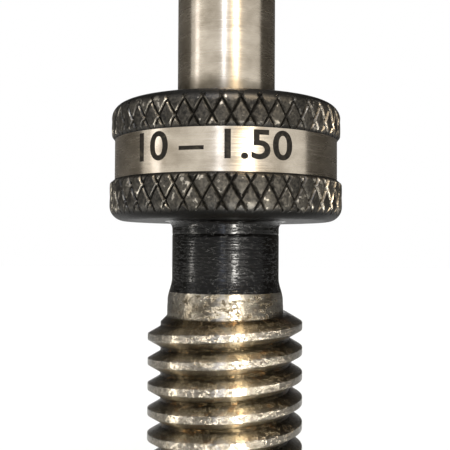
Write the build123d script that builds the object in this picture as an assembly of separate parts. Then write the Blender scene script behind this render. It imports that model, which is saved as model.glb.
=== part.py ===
from build123d import *

import math
import os

# Thread plug gauge for M10 x 1.5, turned, knurled and ground from one bar of tool steel.
# Millimetres, +Z up, origin at the centre of the threaded end's face, on which the gauge stands.
# Its front is -Y, and angles round the axis are counted from there towards +X.

# Thread
thread_pitch = 1.5
thread_crest_diameter = 9.45
thread_root_diameter = 7.9
thread_crest_flat = 0.4
thread_half_angle = 30.0
thread_length = 13.25
thread_front_crest_gap = 0.95  # from the top of the thread down to the first crest, at the front
thread_full_until = 100.0  # degrees from the front at which the first crest starts to run out
thread_run_out_angle = 110.0
end_chamfer = 0.75

# Stem between the thread and the collar
shoulder_diameter = 7.08
shoulder_length = 1.15
flare_length = 0.9
flare_blend_radius = 0.9
neck_diameter = 6.55
neck_length = 3.65
neck_fillet = 0.45

# Collar, with a plain band between two knurled rims
lower_rim_diameter = 14.2
lower_rim_height = 2.48
band_diameter = 13.6
band_height = 2.41
upper_rim_diameter = 14.0
upper_rim_height = 2.16
rim_corner_radius = 0.9
rim_slope_height = 0.25  # from each rim down to the band

# Diamond knurl
knurl_count = 42
knurl_helix_angle = 30.0
knurl_groove_depth = 0.18
knurl_groove_angle = 70.0
knurl_crossing_angle = 2.35  # degrees from the front to a crossing of two grooves
knurl_crossing_height = 1.87  # of that crossing above the collar's lower face

# Shank and the centres that the gauge was ground between
shank_diameter = 6.0
shank_length = 24.0
shank_chamfer = 0.5
centre_diameter = 2.5
centre_pilot_diameter = 1.0
centre_pilot_depth = 2.6
centre_angle = 60.0

# Levels, from the threaded end upwards
shoulder_top = thread_length + shoulder_length
neck_bottom = shoulder_top + flare_length
collar_bottom = neck_bottom + neck_length
band_bottom = collar_bottom + lower_rim_height
band_top = band_bottom + band_height
collar_top = band_top + upper_rim_height
shank_top = collar_top + shank_length

crest_radius = thread_crest_diameter / 2
root_radius = thread_root_diameter / 2
shoulder_radius = shoulder_diameter / 2
neck_radius = neck_diameter / 2
band_radius = band_diameter / 2
shank_radius = shank_diameter / 2
flank_slope = math.tan(math.radians(thread_half_angle))

FRONT = -90.0  # direction of the front, in degrees from +X
stock_below = 3 * thread_pitch  # length below the end face that is cut away last


def turned(profile):
    """The solid that a closed profile of radii and heights sweeps round the axis."""
    return revolve(Plane.XZ * make_face(profile), Axis.Z)


def plug_blank():
    """Everything below the collar but the ridge: the thread's core, shoulder, flare and filleted neck."""
    lead = root_radius - shoulder_radius
    profile = make_face(
        Polyline(
            (0, -stock_below),
            (root_radius, -stock_below),
            (root_radius, thread_length - lead),
            (shoulder_radius, thread_length),
            (shoulder_radius, shoulder_top),
            (neck_radius, neck_bottom),
            (neck_radius, collar_bottom),
            (neck_radius + 2 * neck_fillet, collar_bottom),
            (neck_radius + 2 * neck_fillet, band_bottom),
            (0, band_bottom),
            close=True,
        )
    )
    flare = [v for v in profile.vertices() if min(abs(v.Y - shoulder_top), abs(v.Y - neck_bottom)) < 1e-6]
    profile = fillet(flare, flare_blend_radius)
    corner = [v for v in profile.vertices() if v.X < neck_radius + 1e-6 and abs(v.Y - collar_bottom) < 1e-6]
    return revolve(Plane.XZ * fillet(corner, neck_fillet), Axis.Z)


def thread_ridge():
    """Helical ridge with 60 degree flanks. It starts below the end face, and its last turn runs out."""
    # The upper flank goes down past the shoulder's radius, and the lower one stops just under the
    # root, so that a turn stays clear of the next one inside the core.
    low_base = root_radius - thread_pitch / 10
    high_base = shoulder_radius - thread_pitch / 6
    half_flat = thread_crest_flat / 2
    section = [
        (low_base, -half_flat - (crest_radius - low_base) * flank_slope),
        (crest_radius, -half_flat),
        (crest_radius, half_flat),
        (high_base, half_flat + (crest_radius - high_base) * flank_slope),
    ]

    def swept(start_angle, start_height, angle):
        points = [(r, 0, start_height + z) for r, z in section]
        height = thread_pitch * angle / 360
        path = Edge.make_helix(thread_pitch, height, crest_radius, (0, 0, start_height))
        return Rot(0, 0, start_angle) * Solid.sweep(Face(Wire.make_polygon(points)), path, is_frenet=True)

    full_angle = FRONT + thread_full_until
    full_top = thread_length - thread_front_crest_gap + thread_pitch * thread_full_until / 360
    turns = math.ceil((full_top + thread_pitch) / thread_pitch)
    pieces = [swept(full_angle, full_top - turn * thread_pitch, 360) for turn in range(1, turns + 1)]

    # The run-out is clipped by an eccentric cylinder. It touches the crest where the run-out
    # starts, and lies under the shoulder's surface where it ends.
    turned_by = math.radians(thread_run_out_angle)
    end_radius = shoulder_radius - thread_pitch / 30
    offset = (crest_radius**2 - end_radius**2) / (
        2 * (crest_radius - end_radius * math.cos(turned_by))
    )
    clip = Pos(offset, 0, full_top - thread_pitch) * Cylinder(
        crest_radius - offset, 4 * thread_pitch, align=(Align.CENTER, Align.CENTER, Align.MIN)
    )
    run_out = swept(full_angle, full_top, thread_run_out_angle) & (Rot(0, 0, full_angle) * clip)
    return pieces + [run_out]


def rim(diameter, outer_face, inner_face):
    """One rim of the collar, rounded at its outer face and sloped down to the band at its inner one."""
    radius = diameter / 2
    slope_start = inner_face + math.copysign(rim_slope_height, outer_face - inner_face)
    profile = make_face(
        Polyline(
            (0, outer_face),
            (radius, outer_face),
            (radius, slope_start),
            (band_radius, inner_face),
            (0, inner_face),
            close=True,
        )
    )
    corner = [v for v in profile.vertices() if v.X > 0 and abs(v.Y - outer_face) < 1e-6]
    return revolve(Plane.XZ * fillet(corner, rim_corner_radius), Axis.Z)


def knurl_prism(hand, rim_radius, bottom, top):
    """Twisted prism with V grooves that rise to the right for hand 1, and to the left for hand -1."""
    groove_bottom = rim_radius - knurl_groove_depth
    reach = rim_radius + knurl_groove_depth
    half_mouth = math.degrees((reach - groove_bottom) * math.tan(math.radians(knurl_groove_angle / 2)) / reach)
    step = 360 / knurl_count
    points = []
    for i in range(knurl_count):
        for radius, turn in ((groove_bottom, 0), (reach, half_mouth), (reach, step - half_mouth)):
            angle = math.radians(i * step + turn)
            points.append((radius * math.cos(angle), radius * math.sin(angle)))
    height = top - bottom
    twist = hand * math.degrees(math.tan(math.radians(knurl_helix_angle)) / (lower_rim_diameter / 2))
    start = FRONT + knurl_crossing_angle + twist * (bottom - collar_bottom - knurl_crossing_height)
    prism = Solid.extrude_linear_with_rotation(
        Face(Wire.make_polygon(points)), (0, 0, 0), (0, 0, height), twist * height
    )
    return Pos(0, 0, bottom) * Rot(0, 0, start) * prism


def knurled_rim(diameter, outer_face, inner_face):
    """A rim with the grooves of both hands rolled into it, so that diamonds stand between them."""
    bottom, top = sorted((outer_face, inner_face))
    blank = rim(diameter, outer_face, inner_face)
    return blank & knurl_prism(1, diameter / 2, bottom, top) & knurl_prism(-1, diameter / 2, bottom, top)


def band():
    """Plain ground band between the two rims, which carries the size."""
    disc = Cylinder(band_radius, band_height, align=(Align.CENTER, Align.CENTER, Align.MIN))
    return Pos(0, 0, band_bottom) * disc


def shank():
    """Plain ground shank with a chamfered end."""
    return turned(
        Polyline(
            (0, collar_top),
            (shank_radius, collar_top),
            (shank_radius, shank_top - shank_chamfer),
            (shank_radius - shank_chamfer, shank_top),
            (0, shank_top),
            close=True,
        )
    )


def end_trim():
    """What is turned off the threaded end: the stock below its face, and the chamfer outside it."""
    face_radius = crest_radius - end_chamfer
    outside = crest_radius + thread_pitch
    return turned(
        Polyline(
            (0, -2 * stock_below),
            (outside, -2 * stock_below),
            (outside, outside - face_radius),
            (face_radius, 0),
            (0, 0),
            close=True,
        )
    )


def centre_hole():
    """Lathe centre, drilled downwards from the origin: a cone that meets its pilot hole."""
    cone_depth = (centre_diameter - centre_pilot_diameter) / 2 / math.tan(math.radians(centre_angle / 2))
    pilot_radius = centre_pilot_diameter / 2
    return turned(
        Polyline(
            (0, 0),
            (centre_diameter / 2, 0),
            (pilot_radius, -cone_depth),
            (pilot_radius, -centre_pilot_depth),
            (0, -centre_pilot_depth - pilot_radius * flank_slope),
            close=True,
        )
    )


def gauge():
    """The whole gauge, as the one solid that it is."""
    threaded = plug_blank().solid().fuse(*thread_ridge())
    plug = threaded - end_trim() - Rot(180, 0, 0) * centre_hole()
    handle = shank() - Pos(0, 0, shank_top) * centre_hole()
    lower_rim = knurled_rim(lower_rim_diameter, collar_bottom, band_bottom)
    upper_rim = knurled_rim(upper_rim_diameter, collar_top, band_top)
    return plug.solid().fuse(lower_rim, band(), upper_rim, handle)


os.makedirs("parts", exist_ok=True)
body = gauge()
body.label = "gauge_body"
export_step(body, "parts/gauge_body.step")
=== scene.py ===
import math

import bmesh
import bpy
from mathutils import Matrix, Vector


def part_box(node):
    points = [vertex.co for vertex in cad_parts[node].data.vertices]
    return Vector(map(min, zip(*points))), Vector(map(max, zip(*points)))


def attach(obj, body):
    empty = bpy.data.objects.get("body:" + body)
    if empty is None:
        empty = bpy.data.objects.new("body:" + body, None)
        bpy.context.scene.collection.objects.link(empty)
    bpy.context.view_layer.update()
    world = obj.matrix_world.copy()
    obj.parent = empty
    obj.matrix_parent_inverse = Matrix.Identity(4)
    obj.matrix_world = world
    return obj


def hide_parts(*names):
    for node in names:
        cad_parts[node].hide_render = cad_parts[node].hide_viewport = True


# Thread plug gauge for M10 x 1.5, made of one bar of tool steel. It stands on its threaded end, with
# its front towards -Y. Lengths are in metres, and angles round it count from the front towards +X.
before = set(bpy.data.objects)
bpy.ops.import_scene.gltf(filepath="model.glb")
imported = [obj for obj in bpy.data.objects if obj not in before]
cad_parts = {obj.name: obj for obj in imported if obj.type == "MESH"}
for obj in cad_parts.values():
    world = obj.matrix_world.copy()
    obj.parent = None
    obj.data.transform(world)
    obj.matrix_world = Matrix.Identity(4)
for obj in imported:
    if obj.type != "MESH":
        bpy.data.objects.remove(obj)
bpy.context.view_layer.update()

# The measuring end: a right-handed 60 degree thread whose run-out lies at the back, a shoulder, a
# flare and a neck. It is hardened tool steel, turned in one with the collar and blackened. Thread and
# shoulder were ground after that, so the black oxide is left only from the flare upwards.
MM = 0.001
thread_pitch = 1.5 * MM
thread_crest = 9.45 / 2 * MM
thread_root = 7.9 / 2 * MM
thread_half_angle = 30
crest_flat = 0.4 * MM
crest_wear = 0.04 * MM
root_blend = 0.1 * MM
run_out_from = 100  # degrees from the front, as the next is long
run_out_over = 110
thread_top = 13.25 * MM
thread_cleared = 13.8 * MM  # over this, rows lie level
first_crest = thread_top - 0.95 * MM  # at the front
end_chamfer = 0.75 * MM
shoulder = 7.08 / 2 * MM
flare_bottom = 14.15 * MM
flare_top = 15.5 * MM
oxide_from = 14.66 * MM
neck = 6.55 / 2 * MM
neck_fillet = 0.45 * MM
neck_ring = 18.16 * MM
ring_depth = 0.03 * MM
collar_bottom = 18.95 * MM
centre_radius = 1.25 * MM
pilot_radius = 0.5 * MM
pilot_depth = 2.6 * MM
flank_slope = math.tan(math.radians(thread_half_angle))


def feed(tree, node, inputs):
    """Sets a node's inputs, each to a value, or to the node or socket that feeds it. They are named,
    or stand in the order of the sockets in use."""
    in_use = [socket for socket in node.inputs if socket.enabled]
    for key, value in inputs.items() if isinstance(inputs, dict) else enumerate(inputs):
        socket = node.inputs[key] if isinstance(key, str) else in_use[key]
        if isinstance(value, bpy.types.Node):
            value = next(output for output in value.outputs if output.enabled)
        if isinstance(value, bpy.types.NodeSocket):
            tree.links.new(value, socket)
        else:
            socket.default_value = value


def add(tree, kind, inputs=(), **settings):
    """A new node with these settings and inputs."""
    node = tree.nodes.new(kind)
    for name, value in settings.items():
        setattr(node, name, value)
    feed(tree, node, inputs)
    return node


def colour(code):
    """A colour written as sRGB hex, as linear red, green, blue and alpha."""
    shares = [int(code[i : i + 2], 16) / 255 for i in (1, 3, 5)]
    return [s / 12.92 if s <= 0.04045 else ((s + 0.055) / 1.055) ** 2.4 for s in shares] + [1.0]


def finish(name, inputs):
    """A material with one Principled shader with these inputs. Returns it with its tree and its shader."""
    material = bpy.data.materials.new(name)
    material.use_nodes = True
    shader = material.node_tree.nodes["Principled BSDF"]
    feed(material.node_tree, shader, inputs)
    return material, material.node_tree, shader


def marks(tree, around, along, detail=2.0, rough=0.5):
    """Noise whose marks are so long round the gauge, and so long up it."""
    place = add(tree, "ShaderNodeTexCoord").outputs["Object"]
    scale = (1 / around, 1 / around, 1 / along)
    scaled = add(tree, "ShaderNodeMapping", {"Vector": place, "Scale": scale})
    inputs = {"Vector": scaled, "Scale": 1.0, "Detail": detail, "Roughness": rough}
    return add(tree, "ShaderNodeTexNoise", inputs)


# Tool steel, thread-ground, and long in use: its crests are bright, its grooves are stained brown with
# a little rust and painted darker towards the root as shade, nearly black there, and its shoulder is
# mottled and pitted. Crests and shoulder are painted darker than the same steel on the shank, as
# painted shade. The grinding marks run round it, so it spreads each light up and down. They are about
# 0.01 mm apart on the real one, and are drawn 0.07 mm apart, so that they show.
thread_finish, tree, shader = finish(
    "thread-ground tool steel", {"Metallic": 1.0, "Anisotropic": 1.0, "Anisotropic Rotation": 0.25}
)
rise = add(tree, "ShaderNodeAttribute", attribute_name="rise").outputs["Fac"]
patches = marks(tree, 1.6 * MM, 1.1 * MM, 3.0)
grain = marks(tree, 0.22 * MM, 0.16 * MM, 3.0, 0.6)
grinding = marks(tree, 2.5 * MM, 0.07 * MM, 2.0)
# Painted shade over a brown stain: the grooves darken towards the root, nearly black there
out_of_root = add(tree, "ShaderNodeMapRange", [rise, 0.36, 0.62])
stain_and_shade = add(tree, "ShaderNodeMix", [out_of_root, colour("#292318"), colour("#544C3C")], data_type="RGBA")
near_crest = add(tree, "ShaderNodeMapRange", [rise, 0.72, 1.0])
stain_and_shade = add(tree, "ShaderNodeMix", [near_crest, stain_and_shade, colour("#6E6658")], data_type="RGBA")
patchy = add(tree, "ShaderNodeMapRange", [patches, 0.42, 0.66, 0.0, 0.6])
stain_and_shade = add(tree, "ShaderNodeMix", [patchy, stain_and_shade, colour("#41382A")], data_type="RGBA")
rusty = add(tree, "ShaderNodeMapRange", [marks(tree, 0.8 * MM, 0.5 * MM, 4.0, 0.65), 0.55, 0.7, 0.0, 0.6])
stain_and_shade = add(tree, "ShaderNodeMix", [rusty, stain_and_shade, colour("#634727")], data_type="RGBA")
grained = add(tree, "ShaderNodeMapRange", [grain, 0.35, 0.65])
# Painted shade: the crests' steel is darker than the same steel on the shank, as if it mirrored darker
# surroundings
crest_with_painted_shade = add(tree, "ShaderNodeMix", [grained, colour("#666054"), colour("#8A847A")], data_type="RGBA")
frayed = add(tree, "ShaderNodeMath", [grain, 0.14, rise], operation="MULTIPLY_ADD")
on_crest = add(tree, "ShaderNodeMapRange", [frayed, 1.0, 1.05])
steel = add(tree, "ShaderNodeMix", [on_crest, stain_and_shade, crest_with_painted_shade], data_type="RGBA")
mottle = add(tree, "ShaderNodeMapRange", [patches, 0.36, 0.64])
# Painted shade: the shoulder's steel is darker than the same steel on the shank, as if it mirrored darker
# surroundings
shoulder_with_painted_shade = add(tree, "ShaderNodeMix", [mottle, colour("#5D564A"), colour("#938E83")], data_type="RGBA")
pits = add(tree, "ShaderNodeMapRange", [marks(tree, 0.34 * MM, 0.24 * MM, 5.0, 0.75), 0.51, 0.62])
shoulder_with_painted_shade = add(tree, "ShaderNodeMix", [pits, shoulder_with_painted_shade, colour("#4C4436")], data_type="RGBA")
on_shoulder = add(tree, "ShaderNodeMapRange", [rise, 0.02, 0.1, 1.0, 0.0])
steel = add(tree, "ShaderNodeMix", [on_shoulder, steel, shoulder_with_painted_shade], data_type="RGBA")
smooth = add(tree, "ShaderNodeMapRange", [on_crest, 0.0, 1.0, 0.44, 0.3])
uneven = add(tree, "ShaderNodeMath", [grain, 0.16, -0.08], operation="MULTIPLY_ADD")
roughness = add(tree, "ShaderNodeMath", [smooth, uneven], operation="ADD")
relief = add(tree, "ShaderNodeMath", [grinding, grain], operation="ADD")
relief = add(tree, "ShaderNodeMath", [pits, -0.8, relief], operation="MULTIPLY_ADD")
bump = add(tree, "ShaderNodeBump", {"Strength": 0.8, "Distance": 0.03 * MM, "Height": relief})
tangent = add(tree, "ShaderNodeTangent", direction_type="RADIAL", axis="Z")
feed(tree, shader, {"Base Color": steel, "Roughness": roughness, "Normal": bump, "Tangent": tangent})

# Black oxide on turned steel: oiled, smooth and nearly black. Its turning rings break each light up
# into short dashes. They are about 0.05 mm apart on the real one, and are drawn 0.14 mm apart, so that
# they show.
neck_finish, tree, shader = finish("black oxide on turned steel", {"Specular IOR Level": 0.15})
turning = marks(tree, 3.0 * MM, 0.14 * MM, 2.0, 0.55)
grain = marks(tree, 0.3 * MM, 0.14 * MM, 4.0, 0.6)
mottle = add(tree, "ShaderNodeMapRange", [marks(tree, 2.5 * MM, 1.6 * MM, 3.0), 0.35, 0.65])
black = add(tree, "ShaderNodeMix", [mottle, colour("#070605"), colour("#0E0D0A")], data_type="RGBA")
roughness = add(tree, "ShaderNodeMapRange", [grain, 0.35, 0.65, 0.17, 0.28])
specks = add(tree, "ShaderNodeMapRange", [grain, 0.52, 0.62])
relief = add(tree, "ShaderNodeMath", [specks, 0.5, turning], operation="MULTIPLY_ADD")
bump = add(tree, "ShaderNodeBump", {"Strength": 1.0, "Distance": 0.03 * MM, "Height": relief})
feed(tree, shader, {"Base Color": black, "Roughness": roughness, "Normal": bump})


def section_tree(name, sizes):
    """An empty Geometry Nodes tree that is given the points of a section and the named sizes."""
    tree = bpy.data.node_groups.new(name, "GeometryNodeTree")
    tree.interface.new_socket("Section", in_out="INPUT", socket_type="NodeSocketGeometry")
    for size in sizes:
        tree.interface.new_socket(size, in_out="INPUT", socket_type="NodeSocketFloat")
    tree.interface.new_socket("Surface", in_out="OUTPUT", socket_type="NodeSocketGeometry")
    return tree, add(tree, "NodeGroupInput").outputs


def turned_grid(tree, given):
    """A grid with a row for each point of the section, and a column for each step round the axis.
    Returns it with what the section gives each vertex, (radius, third value, height), and its column."""
    rows = add(tree, "GeometryNodeAttributeDomainSize", [given["Section"]]).outputs["Point Count"]
    columns = add(tree, "ShaderNodeMath", [given["Columns"], 1.0], operation="ADD")
    grid = add(tree, "GeometryNodeMeshGrid", {"Vertices X": columns, "Vertices Y": rows})
    index = add(tree, "GeometryNodeInputIndex")
    column = add(tree, "ShaderNodeMath", [index, rows], operation="DIVIDE")
    column = add(tree, "ShaderNodeMath", [column], operation="FLOOR")
    passed = add(tree, "ShaderNodeMath", [column, rows], operation="MULTIPLY")
    row = add(tree, "ShaderNodeMath", [index, passed], operation="SUBTRACT")
    point = add(tree, "GeometryNodeInputPosition")
    drawn = add(
        tree,
        "GeometryNodeSampleIndex",
        {"Geometry": given["Section"], "Value": point, "Index": row},
        data_type="FLOAT_VECTOR",
    )
    return grid, add(tree, "ShaderNodeSeparateXYZ", [drawn]).outputs, column


def wrapped(tree, grid, radius, angle, height):
    """The grid wrapped round the axis. The angle is in radians."""
    sine = add(tree, "ShaderNodeMath", [angle], operation="SINE")
    cosine = add(tree, "ShaderNodeMath", [angle], operation="COSINE")
    across = add(tree, "ShaderNodeMath", [radius, sine], operation="MULTIPLY")
    forward = add(tree, "ShaderNodeMath", [radius, cosine], operation="MULTIPLY")
    forward = add(tree, "ShaderNodeMath", [forward, -1.0], operation="MULTIPLY")
    position = add(tree, "ShaderNodeCombineXYZ", [across, forward, height])
    return add(tree, "GeometryNodeSetPosition", {"Geometry": grid, "Position": position})


def closed_up(tree, surface, material, *others):
    """The last nodes of a tree: its seam and poles are merged, and its materials set. Each of the others
    is a material with the two heights that it lies between."""
    surface = add(tree, "GeometryNodeMergeByDistance", {"Geometry": surface, "Distance": 1e-7})
    surface = add(tree, "GeometryNodeSetShadeSmooth", {"Geometry": surface})
    surface = add(tree, "GeometryNodeRealizeInstances", [surface])
    surface = add(tree, "GeometryNodeSetMaterial", {"Geometry": surface, "Material": material})
    place = add(tree, "GeometryNodeInputPosition")
    height = add(tree, "ShaderNodeSeparateXYZ", [place]).outputs["Z"]
    for other, low, high in others:
        over = add(tree, "ShaderNodeMath", [height, low], operation="GREATER_THAN")
        under = add(tree, "ShaderNodeMath", [height, high], operation="LESS_THAN")
        both = add(tree, "ShaderNodeMath", [over, under], operation="MULTIPLY")
        inputs = {"Geometry": surface, "Selection": both, "Material": other}
        surface = add(tree, "GeometryNodeSetMaterial", inputs)
    add(tree, "NodeGroupOutput", [surface])


def made(name, section, tree, sizes, sharp_over):
    """The plain mesh that the tree makes of the section's points, (radius, height) and a third value.
    Its edges are sharp over so many degrees."""
    points = bpy.data.meshes.new(name)
    points.from_pydata([(p[0], p[2] if len(p) > 2 else 0.0, p[1]) for p in section], [], [])
    piece = bpy.data.objects.new(name, points)
    bpy.context.scene.collection.objects.link(piece)
    turning = piece.modifiers.new(name, "NODES")
    turning.node_group = tree
    for item in tree.interface.items_tree:
        if item.in_out == "INPUT" and item.name in sizes:
            turning[item.identifier] = float(sizes[item.name])
    seen = piece.evaluated_get(bpy.context.evaluated_depsgraph_get())
    mesh = bpy.data.meshes.new_from_object(seen)
    mesh.materials.pop(index=0)  # the grid's own slot, which is empty
    mesh.set_sharp_from_angle(angle=math.radians(sharp_over))
    piece.modifiers.clear()
    piece.data = mesh
    return piece


plug_sizes = {
    "Columns": 168,
    "Pitch": thread_pitch,
    "Crest radius": thread_crest,
    "Root radius": thread_root,
    "Crest flat": crest_flat,
    "Crest wear": crest_wear,
    "Root blend": root_blend,
    "First crest": first_crest,
    "Run-out from": run_out_from,
    "Run-out over": run_out_over,
    "Shoulder radius": shoulder,
    "Thread top": thread_top,
    "Thread cleared": thread_cleared,
    "End chamfer": end_chamfer,
}
tree, given = section_tree("Thread and neck", plug_sizes)
grid, (radius, lead, height), column = turned_grid(tree, given)
# The first column is where the run-out starts. Rows with a lead of 1 climb with the thread, and end
# against the end face and the shoulder
start = add(tree, "ShaderNodeMath", [given["Run-out from"], 360.0], operation="SUBTRACT")
share = add(tree, "ShaderNodeMath", [column, given["Columns"]], operation="DIVIDE")
degrees = add(tree, "ShaderNodeMath", [share, 360.0, start], operation="MULTIPLY_ADD")
turn = add(tree, "ShaderNodeMath", [degrees, 360.0], operation="DIVIDE")
climb = add(tree, "ShaderNodeMath", [turn, given["Pitch"]], operation="MULTIPLY")
risen = add(tree, "ShaderNodeMath", [climb, lead, height], operation="MULTIPLY_ADD")
in_thread = add(tree, "ShaderNodeClamp", [risen, 0.0, given["Thread cleared"]])
level = add(tree, "ShaderNodeMix", [lead, height, in_thread], data_type="FLOAT")
# Distance from the nearest crest, and how many turns that crest is above the last full one
above = add(tree, "ShaderNodeMath", [level, given["First crest"]], operation="SUBTRACT")
above = add(tree, "ShaderNodeMath", [above, climb], operation="SUBTRACT")
half_pitch = add(tree, "ShaderNodeMath", [given["Pitch"], 0.5], operation="MULTIPLY")
minus_half = add(tree, "ShaderNodeMath", [given["Pitch"], -0.5], operation="MULTIPLY")
off_crest = add(tree, "ShaderNodeMath", [above, half_pitch, minus_half], operation="WRAP")
turns_up = add(tree, "ShaderNodeMath", [above, off_crest], operation="SUBTRACT")
turns_up = add(tree, "ShaderNodeMath", [turns_up, given["Pitch"]], operation="DIVIDE")
turns_up = add(tree, "ShaderNodeMath", [turns_up], operation="ROUND")
off_crest = add(tree, "ShaderNodeMath", [off_crest], operation="ABSOLUTE")
half_flat = add(tree, "ShaderNodeMath", [given["Crest flat"], 0.5], operation="MULTIPLY")
off_flat = add(tree, "ShaderNodeMath", [off_crest, half_flat], operation="SUBTRACT")
crest = given["Crest radius"]
flank = add(tree, "ShaderNodeMath", [off_flat, -1 / flank_slope, crest], operation="MULTIPLY_ADD")
ridge = add(tree, "ShaderNodeMath", [flank, crest, given["Crest wear"]], operation="SMOOTH_MIN")
# The run-out sinks into the shoulder over its last degrees
past = add(tree, "ShaderNodeMath", [degrees, given["Run-out from"]], operation="SUBTRACT")
past = add(tree, "ShaderNodeMath", [turns_up, 360.0, past], operation="MULTIPLY_ADD")
past = add(tree, "ShaderNodeMath", [past, given["Run-out over"]], operation="DIVIDE", use_clamp=True)
sunk = add(tree, "ShaderNodeMath", [past, math.pi / 2], operation="MULTIPLY")
sunk = add(tree, "ShaderNodeMath", [sunk], operation="COSINE")
stands = add(tree, "ShaderNodeMath", [crest, given["Shoulder radius"]], operation="SUBTRACT")
clip = add(tree, "ShaderNodeMath", [stands, sunk, given["Shoulder radius"]], operation="MULTIPLY_ADD")
ridge = add(tree, "ShaderNodeMath", [ridge, clip], operation="MINIMUM")
# The core ends in a 45 degree cone down to the shoulder, and the end face has a 45 degree chamfer
to_top = add(tree, "ShaderNodeMath", [given["Thread top"], level], operation="SUBTRACT")
core = add(tree, "ShaderNodeMath", [given["Shoulder radius"], to_top], operation="ADD")
core = add(tree, "ShaderNodeClamp", [core, given["Shoulder radius"], given["Root radius"]])
cut = add(tree, "ShaderNodeMath", [ridge, core, given["Root blend"]], operation="SMOOTH_MAX")
face = add(tree, "ShaderNodeMath", [crest, given["End chamfer"]], operation="SUBTRACT")
chamfer = add(tree, "ShaderNodeMath", [face, level], operation="ADD")
cut = add(tree, "ShaderNodeMath", [cut, chamfer], operation="MINIMUM")
reach = add(tree, "ShaderNodeMix", [lead, radius, cut], data_type="FLOAT")
around = add(tree, "ShaderNodeMath", [degrees], operation="RADIANS")
surface = wrapped(tree, grid, reach, around, level)
# The thread's rise over the shoulder, as a share of a crest's, tells the material where it is
rise = add(tree, "ShaderNodeMath", [cut, given["Shoulder radius"]], operation="SUBTRACT")
rise = add(tree, "ShaderNodeMath", [rise, stands], operation="DIVIDE", use_clamp=True)
rise = add(tree, "ShaderNodeMath", [rise, lead], operation="MULTIPLY")
inputs = {"Geometry": surface, "Name": "rise", "Value": rise}
surface = add(tree, "GeometryNodeStoreNamedAttribute", inputs, domain="POINT")
closed_up(tree, surface, thread_finish, (neck_finish, oxide_from, collar_bottom + MM))


def centre_hole(face, inwards):
    """Section of a lathe centre, from its bottom out to the face. inwards is 1 or -1, for up or down."""
    cone_depth = (centre_radius - pilot_radius) / flank_slope
    return [
        (0.0, face + inwards * (pilot_depth + pilot_radius * flank_slope)),
        (pilot_radius, face + inwards * pilot_depth),
        (pilot_radius, face + inwards * cone_depth),
        (centre_radius, face),
    ]


def steps(first, last, count):
    """Values from just after the first to the last, evenly spaced."""
    return [first + (last - first) * n / count for n in range(1, count + 1)]


# Its rows: the lathe centre, the end face, one set for each turn of the thread, the shoulder, the
# flare, and the neck with its turned line and its fillet to the collar
section = centre_hole(0.0, 1)
section += [(r, 0.0) for r in steps(centre_radius, thread_root - root_blend, 3)]
flank_width = (thread_crest - thread_root) * flank_slope
offsets = [0.0] + steps(0.0, crest_flat / 2, 3) + steps(crest_flat / 2, crest_flat / 2 + flank_width, 7)
offsets += [(thread_pitch - root_blend) / 2]
one_turn = sorted(-off for off in offsets if off) + offsets + [thread_pitch / 2]
for turn in range(-math.ceil(first_crest / thread_pitch) - 1, 3):
    section += [(thread_root, first_crest + turn * thread_pitch + off, 1.0) for off in one_turn]
section += [(shoulder, z) for z in steps(thread_cleared, flare_bottom, 2)]
for along in steps(0.0, 1.0, 18):
    eased = along * along * (3 - 2 * along)
    r = shoulder + (neck - shoulder) * eased
    section.append((r, flare_bottom + (flare_top - flare_bottom) * along))
section += [(neck, z) for z in steps(flare_top, neck_ring - 2 * ring_depth, 10)]
section += [(neck - ring_depth, neck_ring), (neck, neck_ring + 2 * ring_depth)]
section += [(neck, collar_bottom - neck_fillet)]
for bend in steps(0.0, math.pi / 2, 7):
    r = neck + neck_fillet * (1 - math.cos(bend))
    section.append((r, collar_bottom - neck_fillet * (1 - math.sin(bend))))
section += [(neck / 2, collar_bottom), (0.0, collar_bottom)]

plug = made("plug", section, tree, plug_sizes, sharp_over=28)
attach(plug, "root")
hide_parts("gauge_body")

# The collar: a plain band, ground bright for the size marking, between two rims with a diamond knurl
# that is rolled in for the grip. The rims are black-oxidised, and hands have worn the knurl's edges bare.
lower_rim = 14.2 / 2 * MM
upper_rim = 14.0 / 2 * MM
band = 13.6 / 2 * MM
band_bottom = 21.43 * MM
band_top = 23.84 * MM
collar_top = 26.0 * MM
rim_corner = 0.9 * MM
rim_slope = 0.25 * MM
knurl_count = 42
knurl_divisions = 16  # steps from one groove to the next
groove_divisions = 2  # of them, from a groove's bottom to its edge
knurl_depth = 0.18 * MM
knurl_turned = 2.35  # degrees from the front to a crossing of two grooves
diamond_crown = 0.02 * MM
crossing_height = 20.82 * MM  # of that crossing
crossing_rise = 0.92 * MM  # along a groove, from one crossing to the next
beyond_knurl = 1.0  # a rim's radius so large that the knurl doesn't reach the row

# Black oxide on rolled diamonds: dull black in the grooves, and rubbed grey on the tops. Where hands
# have worn it through, in spots and along some edges, bare steel glints.
knurl_finish, tree, shader = finish("black oxide on knurled steel", {})
groove = add(tree, "ShaderNodeAttribute", attribute_name="groove").outputs["Fac"]
handled = add(tree, "ShaderNodeAttribute", attribute_name="handled").outputs["Fac"]
diamond = add(tree, "ShaderNodeAttribute", attribute_name="diamond").outputs["Fac"]
grain = marks(tree, 0.16 * MM, 0.16 * MM, 4.0, 0.68)
rubbed = add(tree, "ShaderNodeMath", [diamond, 0.2, grain], operation="MULTIPLY_ADD")
rubbed = add(tree, "ShaderNodeMapRange", [rubbed, 0.46, 0.9])
top = add(tree, "ShaderNodeMix", [rubbed, colour("#1C1A16"), colour("#58534A")], data_type="RGBA")
top = add(tree, "ShaderNodeMix", [handled, colour("#0E0D0B"), top], data_type="RGBA")
sunk = add(tree, "ShaderNodeMapRange", [groove, 0.4, 1.0])
oxide = add(tree, "ShaderNodeMix", [sunk, top, colour("#13120F")], data_type="RGBA")
edge_in = add(tree, "ShaderNodeMapRange", [groove, 0.02, 0.1])
edge_out = add(tree, "ShaderNodeMapRange", [groove, 0.2, 0.42, 1.0, 0.0])
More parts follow.
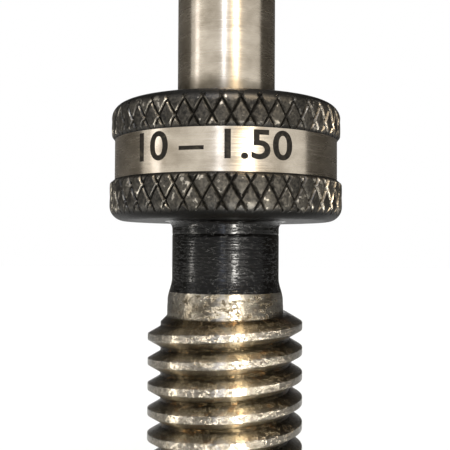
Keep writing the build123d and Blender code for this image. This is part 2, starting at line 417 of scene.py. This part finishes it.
edge = add(tree, "ShaderNodeMath", [edge_in, edge_out], operation="MULTIPLY")
patchy = add(tree, "ShaderNodeMapRange", [marks(tree, 0.9 * MM, 0.9 * MM, 3.0, 0.6), 0.49, 0.64])
edge = add(tree, "ShaderNodeMath", [edge, patchy], operation="MULTIPLY")
spots = marks(tree, 0.45 * MM, 0.45 * MM, 3.0, 0.6)
bare = add(tree, "ShaderNodeMath", [diamond, 0.22, spots], operation="MULTIPLY_ADD")
bare = add(tree, "ShaderNodeMapRange", [bare, 0.75, 0.8])
flat = add(tree, "ShaderNodeMapRange", [groove, 0.05, 0.3, 1.0, 0.0])
bare = add(tree, "ShaderNodeMath", [bare, flat], operation="MULTIPLY")
worn = add(tree, "ShaderNodeMath", [edge, bare], operation="MAXIMUM")
worn = add(tree, "ShaderNodeMath", [worn, handled], operation="MULTIPLY")
body = add(tree, "ShaderNodeMix", [worn, oxide, colour("#969085")], data_type="RGBA")
rolled = add(tree, "ShaderNodeMath", [handled, 0.4], operation="MULTIPLY")
metal = add(tree, "ShaderNodeMath", [worn, rolled], operation="MAXIMUM")
gloss = add(tree, "ShaderNodeMapRange", [handled, 0.0, 1.0, 0.06, 0.2])
roughness = add(tree, "ShaderNodeMapRange", [grain, 0.3, 0.7, 0.34, 0.5])
bump = add(tree, "ShaderNodeBump", {"Strength": 0.8, "Distance": 0.02 * MM, "Height": grain})
feed(tree, shader, {"Base Color": body, "Metallic": metal, "Specular IOR Level": gloss})
feed(tree, shader, {"Roughness": roughness, "Normal": bump})

# Tool steel, hardened and cylindrically ground, on the band and the shank: bright, and darker and duller
# in an uneven band in the corner just above the collar. Its grinding marks run round it, so it spreads
# each light up and down. They are about 0.01 mm apart on the real one, and are drawn 0.09 mm apart, so
# that they show.
ground_finish, tree, shader = finish(
    "ground tool steel", {"Metallic": 1.0, "Anisotropic": 0.85, "Anisotropic Rotation": 0.25}
)
grinding = marks(tree, 3.0 * MM, 0.09 * MM, 3.0)
patches = marks(tree, 2.2 * MM, 1.4 * MM, 4.0, 0.6)
mottle = add(tree, "ShaderNodeMapRange", [patches, 0.35, 0.68])
steel = add(tree, "ShaderNodeMix", [mottle, colour("#CABFAE"), colour("#A19685")], data_type="RGBA")
place = add(tree, "ShaderNodeTexCoord").outputs["Object"]
level = add(tree, "ShaderNodeSeparateXYZ", [place]).outputs["Z"]
# Darker and duller in an uneven band just above the collar, on the shank only
lifted = add(tree, "ShaderNodeMath", [patches, -1.6 * MM, level], operation="MULTIPLY_ADD")
corner_darkening_from = collar_top - 0.7 * MM
corner_darkening_to = collar_top + 0.8 * MM
corner_darkening = add(tree, "ShaderNodeMapRange", [lifted, corner_darkening_from, corner_darkening_to, 0.85, 0.0])
on_shank = add(tree, "ShaderNodeMath", [level, collar_top], operation="GREATER_THAN")
corner_darkening = add(tree, "ShaderNodeMath", [corner_darkening, on_shank], operation="MULTIPLY")
steel = add(tree, "ShaderNodeMix", [corner_darkening, steel, colour("#4A4436")], data_type="RGBA")
roughness = add(tree, "ShaderNodeMapRange", [grinding, 0.3, 0.7, 0.2, 0.29])
roughness = add(tree, "ShaderNodeMath", [corner_darkening, 0.25, roughness], operation="MULTIPLY_ADD")
bump = add(tree, "ShaderNodeBump", {"Strength": 0.25, "Distance": 0.01 * MM, "Height": grinding})
tangent = add(tree, "ShaderNodeTangent", direction_type="RADIAL", axis="Z")
feed(tree, shader, {"Base Color": steel, "Roughness": roughness, "Normal": bump, "Tangent": tangent})

collar_sizes = {
    "Columns": knurl_count * knurl_divisions,
    "Count": knurl_count,
    "Divisions": knurl_divisions,
    "Groove divisions": groove_divisions,
    "Depth": knurl_depth,
    "Crown": diamond_crown,
    "Turned": knurl_turned,
    "Crossing height": crossing_height,
    "Crossing rise": crossing_rise,
}
tree, given = section_tree("Knurled collar", collar_sizes)
grid, (radius, rim, height), column = turned_grid(tree, given)
# A column follows a groove of one hand, and the diagonals of the faces follow those of the other
groove_right = add(tree, "ShaderNodeMath", [column, given["Divisions"]], operation="DIVIDE")
climb = add(tree, "ShaderNodeMath", [height, given["Crossing height"]], operation="SUBTRACT")
climb = add(tree, "ShaderNodeMath", [climb, given["Crossing rise"]], operation="DIVIDE")
groove_left = add(tree, "ShaderNodeMath", [groove_right, climb], operation="ADD")
turn = add(tree, "ShaderNodeMath", [groove_right, groove_left], operation="ADD")
turn = add(tree, "ShaderNodeMath", [turn, 0.5], operation="MULTIPLY")
turn = add(tree, "ShaderNodeMath", [turn, given["Count"]], operation="DIVIDE")
degrees = add(tree, "ShaderNodeMath", [turn, 360.0, given["Turned"]], operation="MULTIPLY_ADD")
mouth = add(tree, "ShaderNodeMath", [given["Groove divisions"], given["Divisions"]], operation="DIVIDE")
depths = []
slopes = []
cells = []
for family in (groove_right, groove_left):
    cells.append(add(tree, "ShaderNodeMath", [family], operation="FLOOR"))
    off = add(tree, "ShaderNodeMath", [family, 0.5, -0.5], operation="WRAP")
    off = add(tree, "ShaderNodeMath", [off], operation="ABSOLUTE")
    inwards = add(tree, "ShaderNodeMapRange", [off, mouth, 0.5, 1.0, 0.0])
    slopes.append(add(tree, "ShaderNodeMath", [inwards, 2.0], operation="POWER"))
    off = add(tree, "ShaderNodeMath", [off, mouth], operation="DIVIDE", use_clamp=True)
    depths.append(add(tree, "ShaderNodeMath", [1.0, off], operation="SUBTRACT"))
deepest = add(tree, "ShaderNodeMath", depths, operation="MAXIMUM")
deepest = add(tree, "ShaderNodeMath", [deepest, given["Depth"]], operation="MULTIPLY")
rolled = add(tree, "ShaderNodeMath", [rim, deepest], operation="SUBTRACT")
flat_reach = add(tree, "ShaderNodeMath", [radius, rolled], operation="MINIMUM")
# A diamond's top is a little crowned: it falls from its middle to its edges
slope = add(tree, "ShaderNodeMath", slopes, operation="ADD")
slope = add(tree, "ShaderNodeMath", [slope, given["Crown"]], operation="MULTIPLY")
rolled = add(tree, "ShaderNodeMath", [rolled, slope], operation="SUBTRACT")
reach = add(tree, "ShaderNodeMath", [radius, rolled], operation="MINIMUM")
around = add(tree, "ShaderNodeMath", [degrees], operation="RADIANS")
surface = wrapped(tree, grid, reach, around, height)
# For the material: how deep in a groove a point is, how far out it stands for hands, and a number
# that each diamond has for itself
fallen = add(tree, "ShaderNodeMath", [radius, flat_reach], operation="SUBTRACT")
fallen = add(tree, "ShaderNodeMath", [fallen, given["Depth"]], operation="DIVIDE", use_clamp=True)
inward = add(tree, "ShaderNodeMath", [rim, radius], operation="SUBTRACT")
inward = add(tree, "ShaderNodeMath", [inward, given["Depth"]], operation="DIVIDE")
handled = add(tree, "ShaderNodeMath", [1.0, inward], operation="SUBTRACT", use_clamp=True)
cell = add(tree, "ShaderNodeCombineXYZ", cells)
diamond = add(tree, "ShaderNodeTexWhiteNoise", {"Vector": cell}).outputs["Value"]
for name, value in (("groove", fallen), ("handled", handled), ("diamond", diamond)):
    inputs = {"Geometry": surface, "Name": name, "Value": value}
    surface = add(tree, "GeometryNodeStoreNamedAttribute", inputs, domain="POINT")
surface = add(tree, "GeometryNodeTriangulate", {"Mesh": surface}, quad_method="FIXED")
closed_up(tree, surface, knurl_finish, (ground_finish, band_bottom, band_top))


def rim_section(rim, face, towards_band, band_edge):
    """Section of a rim, from its outer face to the band. towards_band is 1 for up and -1 for down."""
    unknurled = math.acos(1 - knurl_depth / rim_corner)
    centre = face + towards_band * rim_corner
    slope_from = band_edge - towards_band * rim_slope
    rows = [(r, face, beyond_knurl) for r in (0.0, neck * 0.7, neck + neck_fillet, (neck + rim) / 2)]
    for bend in [0.0] + steps(0.0, math.pi / 2 - unknurled, 9)[:-1]:
        r = rim - rim_corner * (1 - math.sin(bend))
        rows.append((r, centre - towards_band * rim_corner * math.cos(bend), beyond_knurl))
    row_rise = crossing_rise / knurl_divisions
    knurl_from = centre - towards_band * rim_corner * math.sin(unknurled)
    low, high = sorted((knurl_from, band_edge))
    first = math.ceil((low - crossing_height) / row_rise)
    last = math.floor((high - crossing_height) / row_rise)
    heights = [crossing_height + row_rise * n for n in range(first, last + 1)]
    for z in heights[::towards_band]:
        below_centre = max(0.0, towards_band * (centre - z))
        on_slope = max(0.0, towards_band * (z - slope_from)) / rim_slope
        r = rim - rim_corner + math.sqrt(rim_corner**2 - below_centre**2) - (rim - band) * on_slope
        rows.append((r, z, rim))
    return rows


section = rim_section(lower_rim, collar_bottom, 1, band_bottom)
section += [(band, z, beyond_knurl) for z in [band_bottom] + steps(band_bottom, band_top, 4)]
section += rim_section(upper_rim, collar_top, -1, band_top)[::-1]

collar = made("collar", section, tree, collar_sizes, sharp_over=20)
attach(collar, "root")
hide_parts("gauge_body")

# The shank, by which the gauge is held: the same bar, ground bright and round, with a relief line
# above the collar, a chamfered end and the lathe centre that it was ground on.
shank_radius = 3.0 * MM
shank_chamfer = 0.5 * MM
relief_from = collar_top + 0.4 * MM
relief_depth = 0.03 * MM
gauge_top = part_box("gauge_body")[1].z

shank_sizes = {"Columns": 168}
tree, given = section_tree("Shank", shank_sizes)
grid, drawn, column = turned_grid(tree, given)
share = add(tree, "ShaderNodeMath", [column, given["Columns"]], operation="DIVIDE")
around = add(tree, "ShaderNodeMath", [share, 2 * math.pi], operation="MULTIPLY")
surface = wrapped(tree, grid, drawn["X"], around, drawn["Z"])
closed_up(tree, surface, ground_finish)

section = [(0.0, collar_top), (shank_radius / 2, collar_top), (shank_radius, collar_top)]
for along in range(5):
    sink = relief_depth * math.sin(math.pi * along / 4)
    section.append((shank_radius - sink, relief_from + 2 * relief_depth * along))
shank_levels = steps(relief_from + 9 * relief_depth, gauge_top - shank_chamfer, 16)
section += [(shank_radius, z) for z in shank_levels]
section += [(shank_radius - shank_chamfer, gauge_top), (shank_radius - shank_chamfer * 2, gauge_top)]
section += centre_hole(gauge_top, -1)[::-1]

shank = made("shank", section, tree, shank_sizes, sharp_over=28)
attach(shank, "root")
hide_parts("gauge_body")

# The size marking: plain numbers, etched into the band's steel and blackened. They are drawn flat,
# sliced so that they can bend, and wrapped round the band, a hair proud of it so that they show.
marking_height = 1.62 * MM
marking_angle = math.radians(-6.5)
marking_arc = math.radians(77) * band
marking_level = 22.9 * MM
marking_proud = 0.006 * MM
marking_sunk = 0.03 * MM
slice_width = 0.12 * MM

# Blackened etching: dry and nearly black, worn paler in places
etching, tree, shader = finish("blackened etching", {"Specular IOR Level": 0.1})
grain = marks(tree, 0.15 * MM, 0.15 * MM, 3.0, 0.6)
grained = add(tree, "ShaderNodeMapRange", [grain, 0.35, 0.7])
ink = add(tree, "ShaderNodeMix", [grained, colour("#14110D"), colour("#2C261D")], data_type="RGBA")
faded = add(tree, "ShaderNodeMapRange", [marks(tree, 0.5 * MM, 0.4 * MM, 3.0, 0.6), 0.58, 0.7, 0.0, 0.22])
ink = add(tree, "ShaderNodeMix", [faded, ink, colour("#6F6752")], data_type="RGBA")
roughness = add(tree, "ShaderNodeMapRange", [grain, 0.3, 0.7, 0.4, 0.6])
feed(tree, shader, {"Base Color": ink, "Roughness": roughness})

# Offset and extrude are in the font's own units, before the numbers get their size
letters = bpy.data.curves.new("size_marking", "FONT")
letters.body = "10 – 1.50"
letters.offset = 0.018
letters.extrude = 0.1
letters.resolution_u = 6
drawing = bpy.data.objects.new("size_marking", letters)
bpy.context.scene.collection.objects.link(drawing)
bpy.context.view_layer.update()
flat = bpy.data.meshes.new_from_object(drawing.evaluated_get(bpy.context.evaluated_depsgraph_get()))
bpy.data.objects.remove(drawing)

cutting = bmesh.new()
cutting.from_mesh(flat)
bmesh.ops.remove_doubles(cutting, verts=cutting.verts, dist=1e-5)
low = Vector(min(v.co[i] for v in cutting.verts) for i in range(3))
high = Vector(max(v.co[i] for v in cutting.verts) for i in range(3))
for v in cutting.verts:
    v.co.x = ((v.co.x - low.x) / (high.x - low.x) - 0.5) * marking_arc
    v.co.y = ((v.co.y - low.y) / (high.y - low.y) - 0.5) * marking_height
    v.co.z = marking_proud if v.co.z > 0 else -marking_sunk
slices = math.ceil(marking_arc / slice_width)
for n in range(1, slices):
    bmesh.ops.bisect_plane(
        cutting,
        geom=cutting.verts[:] + cutting.edges[:] + cutting.faces[:],
        plane_co=((n / slices - 0.5) * marking_arc, 0, 0),
        plane_no=(1, 0, 0),
    )
for v in cutting.verts:
    angle = v.co.x / band + marking_angle
    out = band + v.co.z
    v.co = Vector((out * math.sin(angle), -out * math.cos(angle), marking_level + v.co.y))
bmesh.ops.recalc_face_normals(cutting, faces=cutting.faces)
bent = bpy.data.meshes.new("size_marking")
cutting.to_mesh(bent)
cutting.free()
bent.materials.append(etching)

marking = bpy.data.objects.new("size_marking", bent)
bpy.context.scene.collection.objects.link(marking)
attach(marking, "root")

# The studio floor: a matt white sheet, on which the gauge stands and which keeps its shadow. It is
# white in the render wherever the shadow doesn't reach, as the world past its edge is.
floor_half = 0.6
corners = [(x * floor_half, y * floor_half, 0) for x, y in ((-1, -1), (1, -1), (1, 1), (-1, 1))]
floor_mesh = bpy.data.meshes.new("floor")
floor_mesh.from_pydata(corners, [], [(0, 1, 2, 3)])
floor_finish = finish(
    "white studio floor", {"Base Color": colour("#F4F4F2"), "Roughness": 0.9, "Specular IOR Level": 0.2}
)[0]
floor_mesh.materials.append(floor_finish)
floor = bpy.data.objects.new("floor", floor_mesh)
bpy.context.scene.collection.objects.link(floor)

# Upright strip lamps, which stand in the steel as bright lines. The far ones give the shank and the
# band theirs, the high ones the thread's upper flanks, and the near ones the crests, the shoulder and
# the neck. They light no matt colour: the white world alone does, so that each is as it is written.
far = 80 * MM
near = 20 * MM
near_top = 16.5 * MM
far_top = 90 * MM
high_top = 170 * MM
strips = (
    # Name, degrees from the front, degrees wide, distance, bottom, top, brightness over white, colour
    ("left_softbox", -71, 10, far, 0.0, far_top, 1.5, "#F6F6FF"),
    ("high_left_softbox", -71, 10, far, far_top, high_top, 8.0, "#FFFAF0"),
    ("near_left_lamp", -71, 8, near, 0.0, near_top, 22.0, "#FFFAF0"),
    ("front_strip", -6, 6, far, 0.0, far_top, 1.65, "#DEE8FF"),
    ("high_front_strip", -6, 6, far, far_top, high_top, 110.0, "#DEE8FF"),
    ("near_front_lamp", -5.5, 4, near, 0.0, near_top, 12.0, "#DEE8FF"),
    ("right_lamp", 24, 5, far, 0.0, far_top, 1.3, "#F0F2FF"),
    ("high_right_lamp", 25, 6, far, far_top, high_top, 330.0, "#FFEACA"),
    ("near_right_lamp", 18.5, 7.5, near, 0.0, near_top, 130.0, "#FFFCF4"),
    ("near_softbox", 37, 12, near, 0.0, near_top, 3.0, "#FFFAF4"),
)
for name, azimuth, width, distance, bottom, top, brightness, tint in strips:
    lamp = bpy.data.lights.new(name, "AREA")
    lamp.shape = "RECTANGLE"
    lamp.size = 2 * distance * math.tan(math.radians(width / 2))
    lamp.size_y = top - bottom
    lamp.energy = brightness * math.pi * lamp.size * lamp.size_y
    lamp.color = colour(tint)[:3]
    around = math.radians(azimuth)
    stand = bpy.data.objects.new(name, lamp)
    stand.location = (distance * math.sin(around), -distance * math.cos(around), (bottom + top) / 2)
    stand.rotation_euler = (math.radians(90), 0, around)
    stand.visible_camera = False
    stand.visible_diffuse = False
    bpy.context.scene.collection.objects.link(stand)

# Two painted grey cards, which stand upright behind the gauge, one on each side. They are seen only
# in the steel, which they darken towards its edges.
card_distance = 130 * MM
card_bottom = 1 * MM
card_top = 200 * MM
for name, first, last, tone in (("right_card", 85, 170, "#555350"), ("left_card", -90, -170, "#696764")):
    corners = []
    for azimuth, z in ((first, card_bottom), (last, card_bottom), (last, card_top), (first, card_top)):
        around = math.radians(azimuth)
        corners.append((card_distance * math.sin(around), -card_distance * math.cos(around), z))
    card_mesh = bpy.data.meshes.new(name)
    card_mesh.from_pydata(corners, [], [(0, 1, 2, 3)])
    paint = {"Base Color": colour(tone), "Roughness": 0.9, "Specular IOR Level": 0.0}
    card_mesh.materials.append(finish("painted grey card", paint)[0])
    card = bpy.data.objects.new(name, card_mesh)
    card.visible_camera = False
    card.visible_shadow = False
    card.visible_diffuse = False
    bpy.context.scene.collection.objects.link(card)

# White all round: pure white to the camera and in the steel, and a fifth stronger as a light, since
# the gauge stands in its own shade
world = bpy.data.worlds.new("white_studio")
world.use_nodes = True
tree = world.node_tree
path = add(tree, "ShaderNodeLightPath").outputs
seen = add(tree, "ShaderNodeMath", [path["Is Camera Ray"], path["Is Glossy Ray"]], operation="MAXIMUM")
seen = add(tree, "ShaderNodeMath", [seen, path["Is Transmission Ray"]], operation="MAXIMUM")
strength = add(tree, "ShaderNodeMapRange", [seen, 0.0, 1.0, 1.2, 1.0])
feed(tree, tree.nodes["Background"], {"Color": colour("#FFFFFF"), "Strength": strength})
bpy.context.scene.world = world

# The camera stands where the photograph's did: close in front of the gauge, level with its neck, and
# tilted up a little
camera_data = bpy.data.cameras.new("camera")
camera_data.sensor_width = 36.0
camera_data.lens = 62.8
camera_data.clip_start = 1 * MM
camera = bpy.data.objects.new("camera", camera_data)
camera.location = (-0.03 * MM, -48.4 * MM, 17.4 * MM)
camera.rotation_euler = (math.radians(91.6), math.radians(-0.3), 0.0)
bpy.context.scene.collection.objects.link(camera)
bpy.context.scene.camera = camera
bpy.context.scene.view_settings.view_transform = "Standard"
